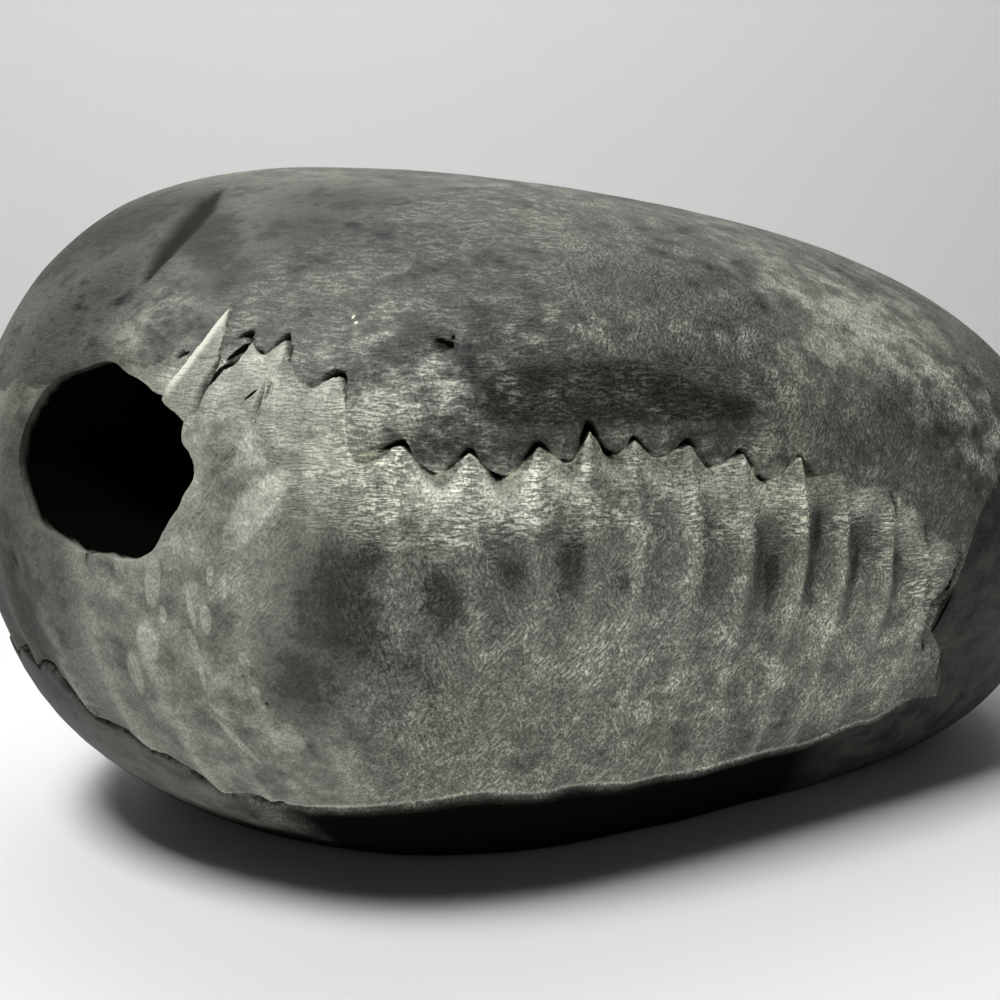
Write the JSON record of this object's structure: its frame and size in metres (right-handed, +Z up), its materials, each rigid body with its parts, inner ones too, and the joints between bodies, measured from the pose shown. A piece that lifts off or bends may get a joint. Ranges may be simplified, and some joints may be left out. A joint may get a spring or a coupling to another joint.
{
  "type": "fossil ammonite nodule",
  "caption": "River-worn stone nodule with a ribbed ammonite whorl showing round its girdle, jagged sutures above and below it, and an open living chamber at one end.",
  "frame": {"origin": "centre of the bottom of the bounding box, on the surface that the stone rests on", "axes": "+Z up along the coil axis, +X along the stone's length towards its smooth end, -Y out of the ribbed flank that the picture shows, and the open chamber faces -X"},
  "size_m": [0.0888, 0.057, 0.0477],
  "materials": {
    "worn_stone": "dark grey limestone, river-worn to a satin sheen, paler on the ribs and the flake"
  },
  "bodies": {
    "root": {"ammonite_nodule": "worn_stone"}
  },
  "joints": []
}
